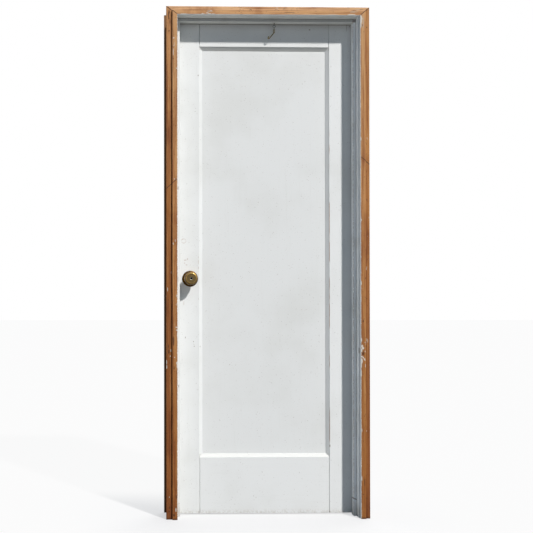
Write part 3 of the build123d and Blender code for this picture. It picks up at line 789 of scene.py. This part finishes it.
for face_y, outward, side in ((leaf_front, -1, "front"), (leaf_rear, 1, "rear")):
    profile = knob_profile(side == "front")
    knob = turned(f"smooth_{side}_knob", face_y, outward, profile, True, brass_of_knob)
    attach(knob, "knob")
    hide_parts(f"{side}_knob")
    rose = turned(f"smooth_{side}_rose", face_y, outward, ROSE_PROFILE, False, brass_of_knob)
    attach(rose, "leaf")
    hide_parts(f"{side}_rose")

# Silver bush round the release hole in the front knob
BUSH_PROFILE = [(6.2, 63.4), (6.2, 64.6), (5.8, 65.1), (5.1, 65.1), (4.6, 64.7), (4.5, 63.4), (6.2, 63.4)]
bush = turned("keyhole_bush", leaf_front, -1, BUSH_PROFILE, False, silver_metal)
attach(bush, "knob")

# Slotted screws of the plates

SCREW_SIDES = 32
SCREW_RADIUS, SCREW_DEPTH, SCREW_SINK = 3.5, 1.2, 0.4
SLOT_SIZE = (1.2, 9, 0.9)
SLOT_LIFT = 0.3
HINGE_SCREW_RISES = (-35, -13, 13, 35)
HINGE_SCREW_STEP = 7
STRIKE_SCREW_RISE, FACEPLATE_SCREW_RISE = 25, 22


def slotted_head(place, facing, turn):
    """Head of a countersunk screw, a little proud of a plate that faces along X."""
    deselect()
    centre = Vector(place) * MM
    bpy.ops.mesh.primitive_cylinder_add(
        vertices=SCREW_SIDES, radius=SCREW_RADIUS * MM, depth=SCREW_DEPTH * MM,
        location=centre - Vector((facing * SCREW_SINK * MM, 0, 0)), rotation=(0, math.radians(90), 0),
    )
    head = end_piece(start_piece("screw_head"), screw_steel)
    deselect()
    bpy.ops.mesh.primitive_cube_add(
        size=MM, location=centre + Vector((facing * SLOT_LIFT * MM, 0, 0)),
        rotation=(math.radians(turn), 0, 0), scale=SLOT_SIZE,
    )
    cutter = bpy.context.object
    deselect()
    head.select_set(True)
    bpy.context.view_layer.objects.active = head
    bpy.ops.object.modifier_add(type="BOOLEAN")
    slot = head.modifiers[-1]
    slot.operation = "DIFFERENCE"
    slot.object = cutter
    bpy.ops.object.modifier_apply(modifier=slot.name)
    deselect()
    cutter.select_set(True)
    bpy.ops.object.delete()
    return head


def slot_turn(place):
    """Angle at which the driver left a slot, another one at each place."""
    return (place[1] * 37 + place[2] * 11) % 180


def screws(name, places, facing, body):
    """All the screw heads of one plate as one piece."""
    heads = [slotted_head(place, facing, slot_turn(place)) for place in places]
    piece = join(heads, name)
    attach(piece, body)


for hinge in ("top", "middle", "bottom"):
    for side, facing, body in (("jamb", -1, "frame"), ("door", 1, "leaf")):
        plate = f"{hinge}_hinge_{side}_plate"
        face_x = hinge_face if side == "jamb" else high("hinge_stile").x
        plate_edge = low(plate).y
        middle = (low(plate).z + high(plate).z) / 2
        places = [
            (face_x, plate_edge + HINGE_SCREW_STEP * (1 + index % 2), middle + rise)
            for index, rise in enumerate(HINGE_SCREW_RISES)
        ]
        screws(f"{hinge}_hinge_{side}_screws", places, facing, body)

leaf_middle = (leaf_front + leaf_rear) / 2
for name, face_x, reach, facing, body in (
    ("strike_screws", latch_face, STRIKE_SCREW_RISE, 1, "frame"),
    ("faceplate_screws", low("latch_stile").x, FACEPLATE_SCREW_RISE, -1, "leaf"),
):
    screws(name, [(face_x, leaf_middle, knob_z + rise) for rise in (-reach, reach)], facing, body)

# Eye and hook, of round wire

RING_STEPS, WIRE_STEPS, ROD_SIDES = 48, 16, 24
HOOK_X = (low("hook_eye").x + high("hook_eye").x) / 2
HOOK_Y = (low("cabin_hook").y + high("cabin_hook").y) / 2
EYE_RADIUS, EYE_WIRE = 4.5, 1.2
RING_RADIUS, HOOK_WIRE = 5, 1.3
EYE_Z = stop_underside - 1 - EYE_RADIUS - EYE_WIRE
RING_Z = EYE_Z - EYE_RADIUS - (RING_RADIUS - HOOK_WIRE - EYE_WIRE - 0.3)
LOOP_LENGTH, LOOP_RADIUS, LOOP_LEAN = 17.4, 2.4, 3
ROD_RADIUS, ROD_LENGTH, ROD_LEAN = 1.8, 29, 40
BEND_RADIUS, TIP_LENGTH, NECK_LENGTH = 3, 7, 4


def lean_down(degrees):
    """Way down that leans to the latch side."""
    angle = math.radians(degrees)
    return Vector((-math.sin(angle), 0, -math.cos(angle)))


def wire_ring(name, centre, radius, wire, turn):
    """Ring of round wire, left in edit mode."""
    deselect()
    bpy.ops.mesh.primitive_torus_add(
        location=Vector(centre) * MM, rotation=[math.radians(angle) for angle in turn],
        major_segments=RING_STEPS, minor_segments=WIRE_STEPS,
        major_radius=radius * MM, minor_radius=wire * MM,
    )
    return start_piece(name)


def keep_half(piece, upper):
    """Select the half of a ring that lies to one side of its own middle."""
    bpy.ops.mesh.select_all(action="DESELECT")
    bpy.ops.object.mode_set(mode="OBJECT")
    for vertex in piece.data.vertices:
        vertex.select = (vertex.co.y > 1e-6) == upper
    bpy.ops.object.mode_set(mode="EDIT")


def wire_rod(name, start, end, wire, material):
    """Straight round wire with rounded ends."""
    deselect()
    start, end = Vector(start) * MM, Vector(end) * MM
    turn = (end - start).to_track_quat("Z", "Y").to_euler()
    bpy.ops.mesh.primitive_cylinder_add(
        vertices=ROD_SIDES, radius=wire * MM, depth=(end - start).length, location=(start + end) / 2,
        rotation=turn,
    )
    rod = end_piece(start_piece(name), material)
    balls = []
    for centre in (start, end):
        deselect()
        bpy.ops.mesh.primitive_uv_sphere_add(
            segments=ROD_SIDES, ring_count=ROD_SIDES // 2, radius=wire * MM, location=centre,
        )
        balls.append(end_piece(start_piece("end"), material))
    return join([rod] + balls, name)


eye_top = Vector((HOOK_X, HOOK_Y, EYE_Z + EYE_RADIUS))
eye_ring = wire_ring("eye_ring", (HOOK_X, HOOK_Y, EYE_Z), EYE_RADIUS, EYE_WIRE, (0, 90, 0))
eye_ring = end_piece(eye_ring, brass_of_hook)
eye_shank = wire_rod("eye_shank", eye_top, eye_top + Vector((0, 0, 10)), EYE_WIRE, brass_of_hook)
eye = join([eye_ring, eye_shank], "smooth_eye")
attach(eye, "frame")
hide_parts("hook_eye")

hook_ring = wire_ring("hook_ring", (HOOK_X, HOOK_Y, RING_Z), RING_RADIUS, HOOK_WIRE, (90, 0, 0))
hook_parts = [end_piece(hook_ring, brass_of_hook)]
ring_bottom = Vector((HOOK_X, HOOK_Y, RING_Z - RING_RADIUS))
loop_top = ring_bottom - Vector((0, 0, NECK_LENGTH))
hook_parts.append(wire_rod("hook_neck", ring_bottom, loop_top, HOOK_WIRE, brass_of_hook))
loop_way = lean_down(LOOP_LEAN)
loop_middle = loop_top + loop_way * LOOP_LENGTH / 2
loop = wire_ring("hook_loop", loop_middle, LOOP_RADIUS, HOOK_WIRE, (90, LOOP_LEAN, 0))
for upper in (True, False):
    keep_half(loop, upper)
    stretch = loop_way * (LOOP_LENGTH / 2 - LOOP_RADIUS) * (-MM if upper else MM)
    bpy.ops.transform.translate(value=stretch)
hook_parts.append(end_piece(loop, brass_of_hook))
rod_way = lean_down(ROD_LEAN)
bend_way = Vector((rod_way.z, 0, -rod_way.x))
rod_top = loop_top + loop_way * LOOP_LENGTH
rod_end = rod_top + rod_way * ROD_LENGTH
bend_middle = rod_end + bend_way * BEND_RADIUS
bend = wire_ring("hook_bend", bend_middle, BEND_RADIUS, ROD_RADIUS, (90, ROD_LEAN, 0))
keep_half(bend, True)
bpy.ops.mesh.delete(type="VERT")
hook_parts.append(end_piece(bend, brass_of_hook))
hook_parts.append(wire_rod("hook_rod", rod_top, rod_end, ROD_RADIUS, brass_of_hook))
tip_start = rod_end + bend_way * BEND_RADIUS * 2
tip_end = tip_start - rod_way * (TIP_LENGTH - ROD_RADIUS)
hook_parts.append(wire_rod("hook_tip", tip_start, tip_end, ROD_RADIUS, brass_of_hook))
hook = join(hook_parts, "smooth_hook")
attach(hook, "hook")
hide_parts("cabin_hook")

# Stage


def stage_floor():
    """Large pale floor under the feet, white to the camera where nothing shades it."""
    deselect()
    bpy.ops.mesh.primitive_plane_add(size=FLOOR_SIZE, location=(0, 0, 0))
    floor = bpy.context.object
    floor.name = "floor"
    finish = Finish("floor")
    seen = finish.node("ShaderNodeLightPath", output="Is Camera Ray")
    colour = finish.mix(seen, (*FLOOR_COLOUR, 1), (*FLOOR_SEEN, 1))
    finish.set(Base_Color=colour, Roughness=0.9, Specular_IOR_Level=0.0)
    glow = finish.node("ShaderNodeEmission", {}, {"Color": (1, 1, 1, 1), "Strength": FLOOR_GLOW})
    from_middle = (finish.x - (casing_left + casing_right) / 2).absolute()
    beyond_sides = from_middle - (casing_right - casing_left) / 2
    beyond_faces = finish.y.absolute() + casing_front
    away = (beyond_sides | beyond_faces).smooth(*FLOOR_GLOW_FADE)
    share = seen * (away * (FLOOR_GLOW_FAR - FLOOR_GLOW_NEAR) + FLOOR_GLOW_NEAR)
    paint = Field(finish, finish.shader.outputs[0])
    mixed = finish.node("ShaderNodeMixShader", {}, {0: share, 1: paint, 2: glow})
    finish.tree.links.new(mixed.socket, finish.tree.nodes["Material Output"].inputs["Surface"])
    floor.data.materials.append(finish.material)


def set_world():
    """Even light from all round, white to the camera and in reflections."""
    world = bpy.data.worlds.new("studio")
    scene.world = world
    world.use_nodes = True
    tree = world.node_tree
    background = tree.nodes["Background"]
    path = tree.nodes.new("ShaderNodeLightPath")
    seen = tree.nodes.new("ShaderNodeMath")
    seen.operation = "MAXIMUM"
    tree.links.new(path.outputs["Is Camera Ray"], seen.inputs[0])
    tree.links.new(path.outputs["Is Glossy Ray"], seen.inputs[1])
    shade = tree.nodes.new("ShaderNodeMix")
    shade.data_type = "RGBA"
    shade.inputs[6].default_value = (*(AMBIENT * tint for tint in AMBIENT_TINT), 1)
    shade.inputs[7].default_value = (1, 1, 1, 1)
    tree.links.new(seen.outputs[0], shade.inputs[0])
    tree.links.new(shade.outputs[2], background.inputs["Color"])
    background.inputs["Strength"].default_value = 1.0


def add_lamp(name, strength, tint, softness, place):
    """Distant lamp that shines from a given way."""
    lamp = bpy.data.lights.new(name, "SUN")
    lamp.energy = strength
    lamp.color = tint
    lamp.angle = math.radians(softness)
    holder = bpy.data.objects.new(name, lamp)
    holder.rotation_euler = Vector(place).to_track_quat("Z", "Y").to_euler()
    scene.collection.objects.link(holder)


def add_camera():
    """Camera beyond the door's left edge and at waist height, with the photograph's framing."""
    lens = bpy.data.cameras.new("camera")
    lens.lens = CAMERA_LENS
    lens.sensor_width = CAMERA_SENSOR
    lens.shift_x, lens.shift_y = CAMERA_SHIFT
    lens.clip_end = CAMERA_REACH
    holder = bpy.data.objects.new("camera", lens)
    holder.location = CAMERA_PLACE
    holder.rotation_euler = (math.radians(90 + CAMERA_PITCH), 0, math.radians(-CAMERA_YAW))
    scene.collection.objects.link(holder)
    scene.camera = holder


stage_floor()
set_world()
add_lamp("key", KEY_STRENGTH, KEY_TINT, KEY_SOFTNESS, KEY_FROM)
add_lamp("back", BACK_STRENGTH, BACK_TINT, BACK_SOFTNESS, BACK_FROM)
add_camera()
scene.view_settings.view_transform = "Standard"
